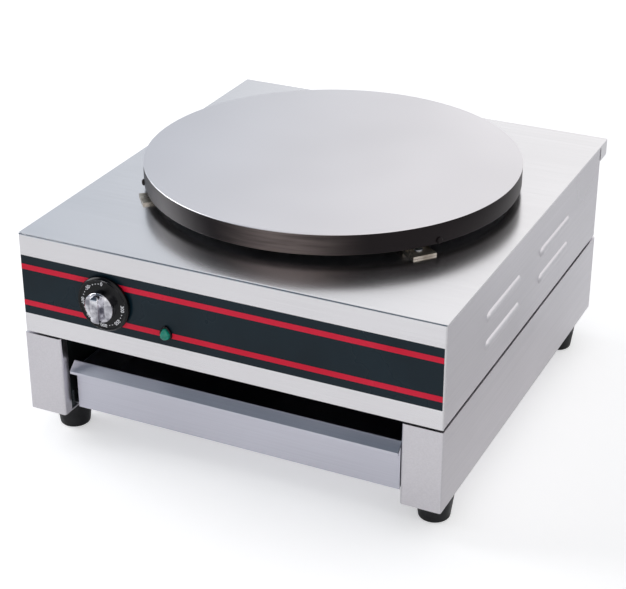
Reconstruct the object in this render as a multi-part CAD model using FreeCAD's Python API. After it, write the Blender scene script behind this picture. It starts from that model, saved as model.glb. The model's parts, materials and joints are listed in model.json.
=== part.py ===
import FreeCAD, Part
import math
import os

# Countertop electric crepe maker: one round griddle plate on a steel casing,
# and a base with a pull-out drip drawer on four rubber feet.
# Millimetres. +X is to the right, +Y to the back, +Z up.
# The origin lies on the counter, under the middle of the whole outline.

vec = FreeCAD.Vector

# Sheet steel and general clearances
sheet = 1.2
hem_sheet = 1.0
bend_round = 2.5
corner_round = 1.5
seam = 0.4
touch = 0.3
running = 0.05
flange = 12.0

# Whole object
casing_width = 450.0
casing_length = 463.0
casing_height = 108.0
base_height = 87.8
base_proud = 0.8
foot_height = 34.0
plate_gap = 8.0
plate_thickness = 22.0

# Top cover
lip_reach = 27.0
lip_lean = 5.5
lip_height = 18.0
lip_straight = 6.5
lip_round = 4.0
lip_return = 12.0
lip_corner = 5.5
edge_band = 2.2
side_inset = 0.5
apron_flange = 14.0

# Griddle plate and what it carries
plate_radius = 196.0
plate_setback = 247.0
plate_edge_round = 0.8
skirt_width = 10.0
plate_face_thickness = 9.0
element_radius = 3.5
outer_ring_radius = 150.0
inner_ring_radius = 85.0
terminal_bend = 12.0
outer_gap_angle = 13.0
inner_gap_angle = 19.0
terminal_drop = 45.0
clamp_radius = 176.0
clamp_thickness = 1.2
pad_thickness = 4.0
pan_thickness = 1.0
pan_flange = 8.0
wire_slot_half = 38.0
wire_slot_near = 68.0
wire_slot_far = 160.0
stud_radius = 4.0
stud_depth = 5.0
nut_height = 5.0
nut_across = 13.0

# Plate brackets, four on the diagonals
bracket_angle = 39.5
bracket_width = 25.0
bracket_sheet = 2.5
bracket_outer = 202.0
bracket_upright = 178.0
bracket_inner = 160.0
bracket_screw_place = 188.0
bracket_screw_radius = 2.5
rim_screw_angle = 34.0
rim_screw_rise = 3.6
rim_screw_radius = 2.0
screw_head_height = 2.4
screw_head_radius = 4.5
bracket_screw_length = 10.0
rim_screw_length = 12.0
rim_screw_head = 3.4
small_nut_across = 8.0
small_nut_height = 4.0

# Thermostat knob
knob_from_left = 97.0
knob_rise = 52.8
knob_reach = 22.0
skirt_radius = 28.5
skirt_thickness = 5.0
skirt_lift = 1.2
skirt_hollow = 24.0
cap_radius = 15.7
cap_thickness = 7.0
grip_width = 9.0
grip_round = 3.5
shaft_radius = 3.0
shaft_flat = 2.2
shaft_hole = 5.0
shaft_into_cap = 9.0
shaft_into_body = 11.8
thermostat_width = 40.0
thermostat_depth = 34.0
thermostat_flange = 2.0
thermostat_screw_pitch = 28.0
thermostat_screw_radius = 2.0
thermostat_screw_length = 6.0
tag_width = 6.0
tag_length = 8.0
tag_thickness = 1.0
tag_pitch = 18.0
bulb_radius = 2.8
bulb_length = 100.0
bulb_from_plate_middle = 50.0
bulb_x = -117.0
capillary_radius = 1.0
capillary_hole_radius = 3.5

# Signal lamp
lamp_from_left = 164.0
lamp_rise = 33.6
bezel_radius = 6.8
bezel_height = 2.0
lens_radius = 5.2
lens_height = 8.0
lamp_barrel = 4.6
lamp_depth = 26.0
lamp_holder_start = 5.0
lamp_nut_height = 3.0
lamp_tag_width = 3.0
lamp_tag_pitch = 6.0

# Control decal and its two stripes
decal_margin_side = 1.5
decal_rise = 20.8
decal_height = 63.5
decal_thickness = 0.5
decal_opening = 20.0
stripe_height = 5.8
stripe_edge = 9.0
stripe_thickness = 0.2

# Side louvres
louvre_length = 100.0
louvre_round = 8.0
louvre_bulge = 2.5
louvre_half_pitch = 78.0
louvre_upper_rise = 63.7
louvre_lower_rise = 33.7
louvre_slot = 4.0

# Rear panel
vent_length = 70.0
vent_height = 4.0
vent_pitch = 12.0
vent_rows = 4
vent_from_middle = 70.0
vent_rise = 38.0
rear_screw_radius = 1.7
rear_screw_length = 6.0
rear_screw_head = 3.5
rear_screw_inset = 6.5
rear_screw_end = 12.0
gland_from_right = 75.0
gland_rise = 30.0
gland_bore = 5.0
gland_thread = 9.0
gland_flange = 13.0
gland_reach = 21.0
gland_inside = 12.0
gland_nut_across = 24.0
gland_nut_height = 5.0
gland_rib_count = 12
bond_from_right = 130.0
bond_shank_radius = 4.0
bond_nut_across = 13.0
bond_nut_height = 4.0
bond_shoulder = 4.5
bond_radius = 3.0
bond_free_length = 10.5
bond_inside = 12.0

# Terminal block and wires
terminal_from_right = 130.0
terminal_from_back = 75.0
terminal_width = 24.0
terminal_height = 16.0
pole_count = 5
pole_pitch = 12.0
pole_groove = 1.6
pole_rise = 6.0
pole_bore = 2.0
pole_depth = 7.0
wire_in_pole = 4.0
wire_radius = 1.4

# Base
floor_inset = 8.0
hem_width = 8.0
leg_width = 41.3
fold_return = 12.0
fold_round = 3.0
foot_inset_x = 22.5
foot_inset_y = 44.0
foot_top_radius = 20.0
foot_bottom_radius = 15.5
foot_round = 2.5
foot_recess = 7.0
foot_recess_depth = 14.0
foot_screw_radius = 3.0
foot_head_height = 5.0
floor_bolt_radius = 2.5
floor_bolt_inset = 24.0
floor_bolt_end = 90.0
floor_bolt_length = 11.5
floor_bolt_head = 3.5
foot_nut_across = 10.0
foot_screw_head = 5.5
foot_screw_grip = 10.0

# Drip drawer
drawer_front_inset = 15.8
drawer_side_clear = 6.5
drawer_clear_below = 4.2
drawer_front_height = 56.0
handle_drop = 9.8
handle_reach = 10.0
handle_return = 3.0
handle_overhang = 1.5
tray_sheet = 1.0
tray_side_clear = 1.0
tray_raise = 4.0
tray_wall = 44.0
tray_rim = 4.0
tray_rear_space = 38.8
ledge_overlap = 5.0
runner_height = 14.0

# Places that follow from the sizes above
base_bottom = foot_height
base_top = base_bottom + base_height
seam_height = 2 * hem_sheet
casing_bottom = base_top + seam_height
casing_top = casing_bottom + casing_height
plate_bottom = casing_top + plate_gap
plate_top = plate_bottom + plate_thickness
half_width = casing_width / 2
whole_length = knob_reach + casing_length + lip_reach
casing_front = knob_reach - whole_length / 2
casing_back = casing_front + casing_length
lip_back = casing_back + lip_reach
lip_bottom = casing_top - lip_height
plate_y = casing_front + plate_setback
base_half = half_width + base_proud
base_front = casing_front - base_proud
base_back = casing_back + base_proud
leg_inner = base_half - leg_width
panel_out = half_width - side_inset
panel_in = panel_out - flange
hollow_top = plate_top - plate_face_thickness
hollow_radius = plate_radius - skirt_width
ring_height = hollow_top - element_radius
clamp_top = hollow_top - 2 * element_radius
pad_top = clamp_top - clamp_thickness
pan_top = pad_top - pad_thickness
pan_bottom = pan_top - pan_thickness
knob_x = -half_width + knob_from_left
knob_z = casing_bottom + knob_rise
lamp_x = -half_width + lamp_from_left
lamp_z = casing_bottom + lamp_rise
decal_front = casing_front - decal_thickness
drawer_y = casing_front + drawer_front_inset - base_proud
drawer_bottom = base_bottom + drawer_clear_below
drawer_top = drawer_bottom + drawer_front_height
tray_bottom = drawer_bottom + tray_raise
drawer_half_width = leg_inner - drawer_side_clear
tray_half = drawer_half_width - tray_side_clear
tray_back = base_back - tray_rear_space
runner_ledge = tray_half - ledge_overlap
ledge_top = tray_bottom - touch
stripe_front = decal_front - stripe_thickness
rim_screw_z = plate_bottom + rim_screw_rise
rear_screw_x = panel_out - rear_screw_inset
gland_x = half_width - gland_from_right
gland_z = casing_bottom + gland_rise
bond_x = half_width - bond_from_right
terminal_x = half_width - terminal_from_right
terminal_y = casing_back - terminal_from_back
terminal_z = base_top + hem_sheet
pole_height = terminal_z + pole_rise
switch_tag_end = casing_front + sheet + thermostat_depth + tag_length
switch_tag_z = knob_z - thermostat_width / 4
switch_tag_xs = [knob_x - tag_pitch / 2, knob_x + tag_pitch / 2]
lamp_tag_end = casing_front + sheet + lamp_depth + tag_length
lamp_tag_xs = [lamp_x - lamp_tag_pitch / 2, lamp_x + lamp_tag_pitch / 2]
bulb_z = hollow_top - bulb_radius - touch
bulb_back_y = plate_y + bulb_from_plate_middle
bulb_down_y = bulb_back_y - bulb_length - 8.0
floor_edge_x = half_width - floor_inset
floor_edge_front = casing_front + floor_inset
floor_edge_back = casing_back - floor_inset
foot_x = base_half - foot_inset_x
foot_places = [(sx * foot_x, y) for sx in (-1, 1)
               for y in (base_front + foot_inset_y, base_back - foot_inset_y)]
floor_bolt_x = base_half - floor_bolt_inset
floor_bolt_places = [(sx * floor_bolt_x, y) for sx in (-1, 1)
                     for y in (base_front + floor_bolt_end, base_back - floor_bolt_end)]
front = vec(0, -1, 0)
back = vec(0, 1, 0)
up = vec(0, 0, 1)
down = vec(0, 0, -1)


def block(x0, x1, y0, y1, z0, z1):
    """A box between two values on each axis."""
    return Part.makeBox(abs(x1 - x0), abs(y1 - y0), abs(z1 - z0),
                        vec(min(x0, x1), min(y0, y1), min(z0, z1)))


def rod(radius, start, direction, length):
    """A cylinder from a point along a direction."""
    return Part.makeCylinder(radius, length, start, direction)


def joined(first, others):
    """One solid from pieces that touch or overlap."""
    return first.multiFuse(others).removeSplitter()


def without(shape, cutters):
    """A solid with other solids cut out of it."""
    for cutter in cutters:
        shape = shape.cut(cutter)
    return shape


def rounded_path(points, radii, closed):
    """Straight runs joined by tangent arcs, with one radius for each point."""
    count = len(points)
    entry = list(points)
    leave = list(points)
    arcs = [None] * count
    for i in range(count):
        if radii[i] <= 0 or (not closed and i in (0, count - 1)):
            continue
        before = (points[i - 1] - points[i]).normalize()
        after = (points[(i + 1) % count] - points[i]).normalize()
        half_angle = before.getAngle(after) / 2
        reach = radii[i] / math.tan(half_angle)
        entry[i] = points[i] + before * reach
        leave[i] = points[i] + after * reach
        middle = (before + after).normalize()
        far = radii[i] / math.sin(half_angle) - radii[i]
        arcs[i] = Part.Arc(entry[i], points[i] + middle * far, leave[i]).toShape()
    edges = []
    for i in range(count):
        if arcs[i] is not None:
            edges.append(arcs[i])
        if i == count - 1 and not closed:
            break
        target = entry[(i + 1) % count]
        if leave[i].distanceToPoint(target) > 1e-6:
            edges.append(Part.makeLine(leave[i], target))
    return Part.Wire(edges)


def extruded(points, radii, along):
    """A flat outline with rounded corners, carried along a vector."""
    return Part.Face(rounded_path(points, radii, True)).extrude(along)


def turned(outline, radii=None):
    """A lathe piece on the Z axis from (radius, height) points."""
    points = [vec(r, 0, h) for r, h in outline]
    radii = radii or [0] * len(points)
    face = Part.Face(rounded_path(points, radii, True))
    return face.revolve(vec(0, 0, 0), up, 360)


def placed(shape, origin, direction):
    """Turn a piece so that its +Z points along a direction, and move it to a point."""
    shape = shape.copy()
    turn = FreeCAD.Rotation(up, direction)
    shape.Placement = FreeCAD.Placement(origin, turn)
    return shape


def hexagon(across, height, hole):
    """A hexagon nut, or a bolt head when the hole is zero."""
    reach = across / math.sqrt(3)
    points = [vec(reach * math.cos(math.radians(60 * k)), reach * math.sin(math.radians(60 * k)), 0)
              for k in range(6)]
    nut = extruded(points, [0] * 6, up * height)
    if hole > 0:
        nut = nut.cut(rod(hole, vec(0, 0, -1), up, height + 2))
    return nut


def pan_screw(radius, length, head_radius, head_height):
    """A screw with a domed head on +Z and its shank on -Z."""
    outline = [(0, -length), (radius, -length), (radius, 0), (head_radius, 0),
               (head_radius, head_height * 0.45), (head_radius * 0.6, head_height), (0, head_height)]
    return turned(outline, [0, 0, 0, 0, head_height * 0.3, head_height * 0.3, 0])


def tube(points, radii, radius):
    """A round bar or wire swept along straight runs and tangent arcs."""
    path = rounded_path(points, radii, False)
    heading = (points[1] - points[0]).normalize()
    section = Part.Wire(Part.makeCircle(radius, points[0], heading))
    return path.makePipeShell([section], True, False)


def about_plate(radius, degrees, height):
    """A point at an angle round the middle of the griddle plate."""
    angle = math.radians(degrees)
    return vec(radius * math.cos(angle), plate_y + radius * math.sin(angle), height)


def bracket_angles():
    """The four diagonal places of the brackets, from +X."""
    return [bracket_angle, 180 - bracket_angle, 180 + bracket_angle, -bracket_angle]


def rim_screw_angles():
    """The four places of the rim screws, beside the brackets."""
    return [rim_screw_angle, 180 - rim_screw_angle, 180 + rim_screw_angle, -rim_screw_angle]


def turned_about_plate(shape, degrees):
    """Turn a piece that was made on the plate's +X side to another side of it."""
    shape = shape.copy()
    shape.rotate(vec(0, plate_y, 0), up, degrees)
    return shape


# Casing

def cover_plan(inset):
    """The outline of the top cover from above, with its rounded corners."""
    x = half_width - inset
    y0 = casing_front + inset
    y1 = lip_back - inset
    front_round = max(corner_round - inset, 0.3)
    back_round = max(lip_corner - inset, 0.3)
    points = [vec(-x, y0, 0), vec(x, y0, 0), vec(x, y1, 0), vec(-x, y1, 0)]
    solid = extruded(points, [front_round, front_round, back_round, back_round],
                     up * (casing_top + 10))
    return solid


def cover_side(inset, opened):
    """The top cover's fold line from the side, carried across its width."""
    y0 = casing_front + inset
    z1 = casing_top - inset
    points = [(y0, casing_bottom - opened), (y0, z1), (lip_back - inset, z1),
              (lip_back - inset, casing_top - lip_straight),
              (lip_back - lip_lean - inset, lip_bottom + inset),
              (casing_back - lip_return + opened, lip_bottom + inset),
              (casing_back - lip_return + opened, casing_bottom - opened)]
    points = [vec(-half_width - 5, y, z) for y, z in points]
    radii = [0, bend_round - inset, lip_round - inset, lip_round, lip_round - inset, 0, 0]
    return extruded(points, radii, vec(casing_width + 10, 0, 0))


def wire_slot(z0, z1):
    """The opening behind the plate's middle for the heaters' terminals."""
    return block(-wire_slot_half, wire_slot_half,
                 plate_y + wire_slot_near, plate_y + wire_slot_far, z0, z1)


def capillary_hole(z0, z1):
    """The hole that the thermostat's capillary comes down through."""
    return rod(capillary_hole_radius, vec(bulb_x, bulb_down_y, z0), up, z1 - z0)


def front_hole(x, z, radius, y0, y1):
    """A round hole from front to back."""
    return rod(radius, vec(x, y0, z), back, y1 - y0)


def make_top_cover():
    """Top, front apron and rear lip, folded from one sheet."""
    cover = cover_side(0, 0).common(cover_plan(0))
    cover = cover.cut(cover_side(sheet, 1.0).common(cover_plan(sheet)))
    for side in (-1, 1):
        window = block(side * (panel_in - touch), side * (half_width + 1),
                       casing_front + edge_band, casing_back,
                       casing_bottom - 1, casing_top - edge_band)
        cover = cover.cut(window)
    apron_x = panel_in - touch
    cover = joined(cover, [block(-apron_x, apron_x, casing_front + sheet / 2,
                                 casing_front + apron_flange, casing_bottom, casing_bottom + sheet)])
    holes = [front_hole(knob_x, knob_z, shaft_hole, casing_front - 1, casing_front + 3),
             front_hole(lamp_x, lamp_z, lamp_barrel + running, casing_front - 1, casing_front + 3),
             wire_slot(casing_top - 3, casing_top + 1), capillary_hole(casing_top - 3, casing_top + 1),
             rod(stud_radius + 4, vec(0, plate_y, casing_top - 3), up, 5)]
    for sx in (-1, 1):
        holes.append(front_hole(knob_x + sx * thermostat_screw_pitch / 2, knob_z,
                                thermostat_screw_radius + running, casing_front - 1, casing_front + 3))
    for degrees in bracket_angles():
        place = about_plate(bracket_screw_place, degrees, casing_top - 3)
        holes.append(rod(bracket_screw_radius + running, place, up, 5))
    return without(cover, holes)


def louvre_capsule(side, y, z, radius, axis_x):
    """A long round form with ball ends, half sunk in the side panel."""
    straight = louvre_length / 2 - louvre_round
    centre = vec(side * axis_x, y - straight, z)
    bar = rod(radius, centre, back, 2 * straight)
    ends = [Part.makeSphere(radius, centre), Part.makeSphere(radius, centre + back * (2 * straight))]
    return bar.multiFuse(ends)


def make_side_panel(side):
    """A shallow pan that fills the side of the casing, with pressed louvres."""
    y0 = casing_front + edge_band + seam
    y1 = casing_back - sheet
    z1 = casing_top - edge_band - seam
    panel = block(side * panel_in, side * panel_out, y0, y1, casing_bottom, z1)
    hollow = block(side * (panel_in - 1), side * (panel_out - sheet),
                   y0 + sheet, y1 - sheet, casing_bottom + sheet, z1 - sheet)
    panel = panel.cut(hollow)
    axis_x = panel_out + louvre_bulge - louvre_round
    outside = block(side * (panel_out - sheet), side * (panel_out + 20), y0, y1, casing_bottom, z1)
    middle = (casing_front + casing_back) / 2
    for rise in (louvre_upper_rise, louvre_lower_rise):
        for sy in (-1, 1):
            y = middle + sy * louvre_half_pitch
            z = casing_bottom + rise
            full = louvre_capsule(side, y, z, louvre_round, axis_x).common(outside)
            inner = louvre_capsule(side, y, z, louvre_round - sheet, axis_x)
            slot = block(side * (panel_out + 0.05), side * (panel_out + 10), y - louvre_length / 2,
                         y + louvre_length / 2, z - louvre_round, z - louvre_round + louvre_slot)
            panel = panel.fuse(full).cut(inner).cut(slot)
    for z in rear_screw_heights():
        panel = panel.cut(front_hole(side * rear_screw_x, z, rear_screw_radius + running,
                                     y1 - 3, y1 + 1))
    return panel.removeSplitter()


def rear_screw_heights():
    """The heights of the screws up each edge of the rear panel."""
    return [casing_bottom + rear_screw_end, (casing_bottom + lip_bottom) / 2, lip_bottom - rear_screw_end]


def make_rear_panel():
    """The flat back of the casing, with vents and the cable entry."""
    panel = block(-panel_out, panel_out, casing_back - sheet, casing_back,
                  casing_bottom, lip_bottom - touch)
    y0 = casing_back - sheet - 1
    y1 = casing_back + 1
    holes = [front_hole(gland_x, gland_z, gland_thread + running, y0, y1),
             front_hole(bond_x, gland_z, bond_shank_radius + running, y0, y1)]
    for sx in (-1, 1):
        for z in rear_screw_heights():
            holes.append(front_hole(sx * rear_screw_x, z, rear_screw_radius + running, y0, y1))
        for row in range(vent_rows):
            z = casing_bottom + vent_rise + row * vent_pitch
            x = sx * vent_from_middle
            points = [vec(x + a * vent_length / 2, y0, z + b * vent_height / 2)
                      for a, b in ((-1, -1), (1, -1), (1, 1), (-1, 1))]
            holes.append(extruded(points, [vent_height * 0.49] * 4, back * (y1 - y0)))
    return without(panel, holes)


def make_casing_floor():
    """The floor sheet, its edge folded double to carry the panels and show as a dark seam."""
    floor = block(-floor_edge_x, floor_edge_x, floor_edge_front, floor_edge_back,
                  base_top, base_top + hem_sheet)
    hem = block(-floor_edge_x, floor_edge_x, floor_edge_front, floor_edge_back,
                base_top, casing_bottom)
    hem = hem.cut(block(-floor_edge_x + hem_width, floor_edge_x - hem_width,
                        floor_edge_front + hem_width, floor_edge_back - hem_width,
                        base_top - 1, casing_bottom + 1))
    floor = joined(floor, [hem])
    holes = [rod(floor_bolt_radius + running, vec(x, y, base_top - 1), up, 8)
             for x, y in floor_bolt_places]
    return without(floor, holes)


# Control strip

def decal_holes(y0, y1):
    """The openings in the decal and its stripes for the knob shaft, its screws and the lamp."""
    return [front_hole(knob_x, knob_z, decal_opening, y0, y1),
            front_hole(lamp_x, lamp_z, lamp_barrel + running, y0, y1)]


def make_control_decal():
    """The dark film on the front apron."""
    x = half_width - decal_margin_side
    z = casing_bottom + decal_rise
    film = block(-x, x, decal_front, casing_front, z, z + decal_height)
    return without(film, decal_holes(decal_front - 1, casing_front + 1))


def make_red_stripes():
    """Two thin red strips that run the whole width of the decal."""
    x = half_width - decal_margin_side
    z0 = casing_bottom + decal_rise + stripe_edge
    z1 = casing_bottom + decal_rise + decal_height - stripe_edge - stripe_height
    strips = []
    for z in (z0, z1):
        strip = block(-x, x, decal_front - stripe_thickness, decal_front, z, z + stripe_height)
        strips.append(without(strip, decal_holes(decal_front - 1, decal_front + 1)))
    return Part.makeCompound([piece for strip in strips for piece in strip.Solids])


def make_knob_skirt():
    """The round black dial, hollow behind, with a bore for the shaft."""
    back_y = decal_front - skirt_lift
    outline = [(shaft_radius + running, 0), (shaft_radius + 5, 0), (shaft_radius + 5, 1.5),
               (skirt_hollow, 1.5), (skirt_hollow, 0), (skirt_radius, 0), (skirt_radius, 2.2),
               (skirt_radius - 1.6, skirt_thickness - 0.8), (skirt_radius - 2.6, skirt_thickness),
               (shaft_radius + running, skirt_thickness)]
    return placed(turned(outline), vec(knob_x, back_y, knob_z), front)


def make_knob_cap():
    """The chrome cap with a raised grip bar across it."""
    outline = [(0, 0), (cap_radius, 0), (cap_radius, cap_thickness),
               (cap_radius - 1.5, cap_thickness + 1.2), (0, cap_thickness + 2.0)]
    cap = turned(outline, [0, 0, 1.2, 2.0, 0])
    reach = knob_reach - decal_thickness - skirt_lift - skirt_thickness
    half = cap_radius - 1.0
    width = grip_width / 2
    section = [vec(-width, -half, 0), vec(width, -half, 0), vec(width, half, 0), vec(-width, half, 0)]
    bar = extruded(section, [grip_round] * 4, up * reach)
    crown = [vec(-width - 1, -half - 1, 0), vec(-width - 1, half + 1, 0),
             vec(-width - 1, half + 1, reach - 4), vec(-width - 1, half - 3, reach),
             vec(-width - 1, -half + 3, reach), vec(-width - 1, -half - 1, reach - 4)]
    bar = bar.common(extruded(crown, [0, 0, 3.0, 4.0, 4.0, 3.0], vec(grip_width + 2, 0, 0)))
    tip = max(edge.BoundBox.ZMax for edge in bar.Edges)
    top_edges = [edge for edge in bar.Edges if edge.BoundBox.ZMin > tip - 0.01]
    bar = bar.makeFillet(1.2, [edge for edge in top_edges if edge.Length > 5] or top_edges)
    cap = joined(cap, [bar])
    cap = cap.cut(rod(shaft_radius + running, vec(0, 0, -1), up, shaft_into_cap + 1 + running))
    return placed(cap, vec(knob_x, decal_front - skirt_lift - skirt_thickness, knob_z), front)


def make_thermostat_shaft():
    """The turning spindle, with a flat on the end that the knob grips."""
    start = casing_front + sheet + shaft_into_body
    end = decal_front - skirt_lift - skirt_thickness - shaft_into_cap
    shaft = rod(shaft_radius, vec(knob_x, end, knob_z), back, start - end)
    flat = block(knob_x - shaft_radius, knob_x + shaft_radius, end - 1, end + shaft_into_cap,
                 knob_z + shaft_flat, knob_z + shaft_radius + 1)
    return shaft.cut(flat)


def make_thermostat_body():
    """The switch box behind the front apron, with a bore for the spindle."""
    half = thermostat_width / 2
    y0 = casing_front + sheet
    box_half = half * 0.9
    plate = block(knob_x - half, knob_x + half, y0, y0 + thermostat_flange,
                  knob_z - half * 0.6, knob_z + half * 0.6)
    box = block(knob_x - box_half, knob_x + box_half, y0 + thermostat_flange, y0 + thermostat_depth,
                knob_z - box_half, knob_z + box_half)
    tags = [block(x - tag_width / 2, x + tag_width / 2, y0 + thermostat_depth, switch_tag_end,
                  switch_tag_z - tag_thickness / 2, switch_tag_z + tag_thickness / 2) for x in switch_tag_xs]
    body = joined(plate, [box] + tags)
    body = body.cut(front_hole(knob_x, knob_z, shaft_radius + running, y0 - 1, y0 + shaft_into_body + 1.2))
    for sx in (-1, 1):
        body = body.cut(front_hole(knob_x + sx * thermostat_screw_pitch / 2, knob_z,
                                   thermostat_screw_radius + running, y0 - 1, y0 + thermostat_screw_length + 1))
    return body


def make_thermostat_screws():
    """Two screws that hold the thermostat to the apron, hidden behind the dial."""
    screws = []
    for sx in (-1, 1):
        place = vec(knob_x + sx * thermostat_screw_pitch / 2, casing_front, knob_z)
        screws.append(placed(pan_screw(thermostat_screw_radius, thermostat_screw_length, 3.5, 1.2), place, front))
    return Part.makeCompound(screws)


def make_sensing_bulb():
    """The thermostat's bulb under the plate and its capillary down to the switch box."""
    start = vec(bulb_x, bulb_back_y, bulb_z)
    bulb = turned([(0, 0), (bulb_radius, 0), (bulb_radius, bulb_length), (0, bulb_length)],
                  [0, 0, bulb_radius * 0.5, 0])
    bulb = placed(bulb, start, front)
    end_y = casing_front + sheet + thermostat_depth
    level = knob_z + 6
    points = [vec(bulb_x, bulb_back_y - bulb_length + 1, bulb_z), vec(bulb_x, bulb_down_y, bulb_z),
              vec(bulb_x, bulb_down_y, level + 12), vec(knob_x + 4, end_y + 50, level + 4),
              vec(knob_x, end_y + 22, level), vec(knob_x, end_y, level)]
    line = tube(points, [0, 5, 14, 20, 20, 0], capillary_radius)
    return joined(bulb, [line])


def make_lamp_bezel():
    """The black ring and threaded barrel of the signal lamp."""
    outline = [(lens_radius - 1.5, 0), (bezel_radius, 0), (bezel_radius, bezel_height * 0.5),
               (bezel_radius - 0.8, bezel_height), (lens_radius + running, bezel_height),
               (lens_radius + running, 0.6), (lens_radius - 1.5, 0.6)]
    ring = turned(outline)
    barrel = turned([(lens_radius - 1.5, 0.3), (lamp_barrel, 0.3), (lamp_barrel, -lamp_depth * 0.5),
                     (lens_radius - 1.5, -lamp_depth * 0.5)])
    ring = joined(ring, [barrel])
    return placed(ring, vec(lamp_x, stripe_front, lamp_z), front)


def make_lamp_lens():
    """The green pointed dome."""
    outline = [(0, 0.7), (lens_radius, 0.7), (lens_radius, 3.2), (lens_radius * 0.72, lens_height - 1.6),
               (0, lens_height)]
    lens = turned(outline, [0, 0, 2.0, 3.0, 0])
    return placed(lens, vec(lamp_x, stripe_front, lamp_z), front)


def make_lamp_body():
    """The lamp's holder behind the front, with two terminals."""
    start = casing_front + sheet + lamp_holder_start
    end = casing_front + sheet + lamp_depth
    holder = rod(lamp_barrel + 3, vec(lamp_x, start, lamp_z), back, end - start)
    holder = holder.cut(front_hole(lamp_x, lamp_z, lamp_barrel + running, start - 1,
                                   start + lamp_depth * 0.5 - 4))
    tags = [block(x - lamp_tag_width / 2, x + lamp_tag_width / 2, end, lamp_tag_end, lamp_z - 0.4, lamp_z + 0.4)
            for x in lamp_tag_xs]
    return joined(holder, tags)


def make_lamp_nut():
    """The ring nut that clamps the lamp to the apron."""
    nut = turned([(lamp_barrel + running, 0), (lamp_barrel + 4, 0), (lamp_barrel + 4, lamp_nut_height),
                  (lamp_barrel + running, lamp_nut_height)])
    return placed(nut, vec(lamp_x, casing_front + sheet, lamp_z), back)


# Griddle plate

def make_griddle_plate():
    """The cast plate, hollow below inside its rim, with a boss for the clamp stud."""
    soft = plate_edge_round
    outline = [(0, hollow_top - 6), (12, hollow_top - 6), (12, hollow_top),
               (hollow_radius, hollow_top), (hollow_radius, plate_bottom),
               (plate_radius, plate_bottom), (plate_radius, plate_top), (0, plate_top)]
    plate = turned(outline, [0, 1, 1.5, 3, 0.5, soft, soft, 0])
    plate = plate.cut(rod(stud_radius + running, vec(0, 0, hollow_top - 7), up, stud_depth + 7))
    plate.translate(vec(0, plate_y, 0))
    for degrees in rim_screw_angles():
        hole = rod(rim_screw_radius + running, about_plate(hollow_radius - 2, degrees, rim_screw_z),
                   outward(degrees), skirt_width + 3)
        plate = plate.cut(hole)
    return plate


def outward(degrees):
    """The direction away from the plate's middle."""
    angle = math.radians(degrees)
    return vec(math.cos(angle), math.sin(angle), 0)


def ring_element(radius, gap_angle):
    """A round heater bar bent into a ring, its two ends bent down as terminals."""
    first = math.radians(90 + gap_angle)
    last = math.radians(90 - gap_angle + 360)
    centre = vec(0, plate_y, ring_height)
    circle = Part.Circle(centre, up, radius)
    ring = Part.Arc(circle, first, last).toShape()
    edges = [ring]
    ends = []
    for angle, sign in ((first, -1), (last, 1)):
        tip = centre + vec(radius * math.cos(angle), radius * math.sin(angle), 0)
        along = vec(-math.sin(angle) * sign, math.cos(angle) * sign, 0)
        low = tip + along * terminal_bend - up * terminal_bend
        middle = tip + along * terminal_bend * math.sin(math.pi / 4)
        middle = middle - up * terminal_bend * (1 - math.cos(math.pi / 4))
        edges.append(Part.Arc(tip, middle, low).toShape())
        edges.append(Part.makeLine(low, low - up * terminal_drop))
        ends.append(low - up * terminal_drop)
    path = Part.Wire(Part.__sortEdges__(edges))
    start = path.OrderedVertexes[0].Point
    section = Part.Wire(Part.makeCircle(element_radius, start, up))
    return path.makePipeShell([section], True, False)


def make_clamp_disc():
    """The steel disc that presses both heaters against the plate."""
    disc = rod(clamp_radius, vec(0, plate_y, pad_top), up, clamp_thickness)
    return without(disc, under_plate_holes(pad_top - 1, clamp_top + 1))


def under_plate_holes(z0, z1):
    """The openings that every disc under the plate shares."""
    return [wire_slot(z0, z1), capillary_hole(z0, z1),
            rod(stud_radius + running, vec(0, plate_y, z0), up, z1 - z0)]


def make_insulation_pad():
    """The ceramic fibre pad below the clamp disc."""
    pad = rod(clamp_radius, vec(0, plate_y, pan_top), up, pad_thickness)
    return without(pad, under_plate_holes(pan_top - 1, pad_top + 1))


def make_heat_shield_pan():
    """The steel pan that closes the hollow and takes the rim screws."""
    radius = hollow_radius - touch
    pan = rod(radius, vec(0, plate_y, pan_bottom), up, pan_thickness + pan_flange)
    pan = pan.cut(rod(radius - pan_thickness, vec(0, plate_y, pan_top), up, pan_flange + 1))
    holes = under_plate_holes(pan_bottom - 1, pan_top + 1)
    for degrees in rim_screw_angles():
        holes.append(rod(rim_screw_radius + running, about_plate(radius - 4, degrees, rim_screw_z),
                         outward(degrees), 8))
    return without(pan, holes)


def make_clamp_stud():
    """The threaded stud from the plate's boss down through the discs."""
    bottom = pan_bottom - nut_height - 1
    top = hollow_top + stud_depth - 1
    return rod(stud_radius, vec(0, plate_y, bottom), up, top - bottom)


def make_clamp_nut():
    """The nut that draws the heaters up against the plate."""
    nut = hexagon(nut_across, nut_height, stud_radius + running)
    return placed(nut, vec(0, plate_y, pan_bottom - nut_height), up)


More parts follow.
